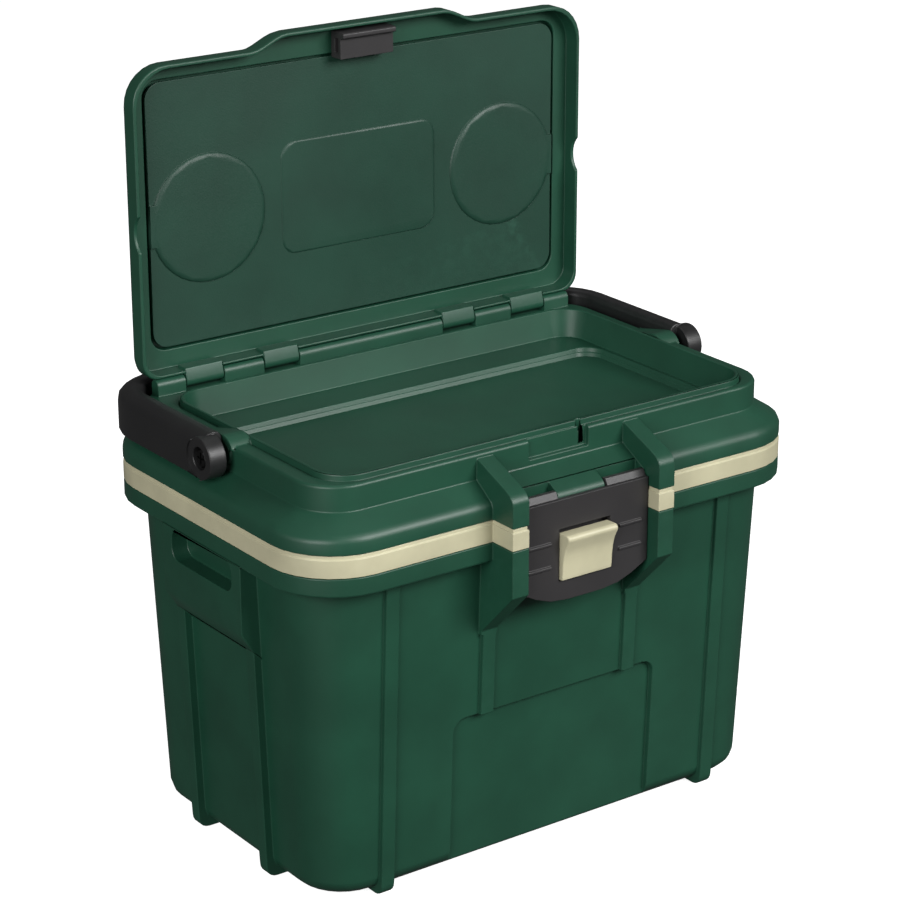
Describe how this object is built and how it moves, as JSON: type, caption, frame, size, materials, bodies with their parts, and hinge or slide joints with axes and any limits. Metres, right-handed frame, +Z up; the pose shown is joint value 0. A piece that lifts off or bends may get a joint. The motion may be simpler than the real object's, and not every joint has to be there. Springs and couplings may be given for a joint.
{
  "type": "cooler chest",
  "caption": "Small hard-sided dark green cooler chest with a hinged main lid, a storage tray under its own lid, a swing handle and a tan push-button latch.",
  "frame": {"origin": "on the floor, under the centre of the whole cooler's box as it stands with the tray lid open", "axes": "+Z up; +X to the right as one faces the latch; +Y to the back, so the latch faces -Y"},
  "size_m": [0.3524, 0.2582, 0.4548],
  "materials": {
    "green_shell": "moulded dark green polypropylene, fine satin texture, smooth rounded edges",
    "green_panel": "moulded dark green plastic panel with a coarser grained texture",
    "tan_trim": "moulded sand-coloured plastic, satin",
    "black_handle": "moulded near-black plastic, satin with fine texture",
    "black_latch": "moulded charcoal plastic, satin",
    "liner": "smooth light grey food-safe liner",
    "foam": "foamed-in-place polyurethane, hidden between shell and liner",
    "gasket": "soft black sealing ring",
    "steel": "stainless pins, screws, bushes and spring"
  },
  "bodies": {
    "tub": {"tub_shell": "green_shell", "tub_foam": "foam", "tub_liner": "liner", "accent_band": "tan_trim", "latch_pin_left": "steel", "latch_pin_right": "steel", "main_hinge_pin_left": "steel", "main_hinge_pin_right": "steel"},
    "main_lid": {"lid_shell": "green_shell", "lid_foam": "foam", "lid_liner": "liner", "lid_gasket": "gasket", "tray_hinge_pin_left": "steel", "tray_hinge_pin_right": "steel", "handle_bush_left": "steel", "handle_bush_right": "steel", "handle_screw_left": "steel", "handle_screw_right": "steel"},
    "tray_lid": {"tray_lid_shell": "green_shell", "tray_lid_panel": "green_panel"},
    "tray_snap": {"tray_snap_catch": "black_latch"},
    "handle": {"carry_handle": "black_handle"},
    "latch": {"latch_plate": "black_latch", "latch_back": "black_latch", "latch_button_spring": "steel"},
    "latch_button": {"latch_button": "tan_trim"}
  },
  "joints": [
    {"name": "main_lid_hinge", "type": "hinge", "parent": "tub", "child": "main_lid", "pos_m": [0, 0.1245, 0.2198], "axis": [-1, 0, 0], "range_deg": [0, 95]},
    {"name": "tray_lid_hinge", "type": "hinge", "parent": "main_lid", "child": "tray_lid", "pos_m": [0, 0.092, 0.2598], "axis": [-1, 0, 0], "range_deg": [-90, 0]},
    {"name": "tray_snap_press", "type": "slide", "parent": "tray_lid", "child": "tray_snap", "axis": [0, 0, -1], "range_m": [0, 0.0024], "stiffness_N_per_m": 300, "springref_m": -0.003},
    {"name": "handle_swing", "type": "hinge", "parent": "main_lid", "child": "handle", "pos_m": [0, 0.0002, 0.2483], "axis": [1, 0, 0], "range_deg": [0, 1.6]},
    {"name": "latch_hinge", "type": "hinge", "parent": "tub", "child": "latch", "pos_m": [0, -0.1163, 0.1808], "axis": [1, 0, 0], "range_deg": [0, 70]},
    {"name": "latch_button_press", "type": "slide", "parent": "latch", "child": "latch_button", "axis": [0, 1, 0], "range_m": [0, 0.003], "stiffness_N_per_m": 300, "springref_m": -0.003, "deforming": ["latch_button_spring"]}
  ]
}
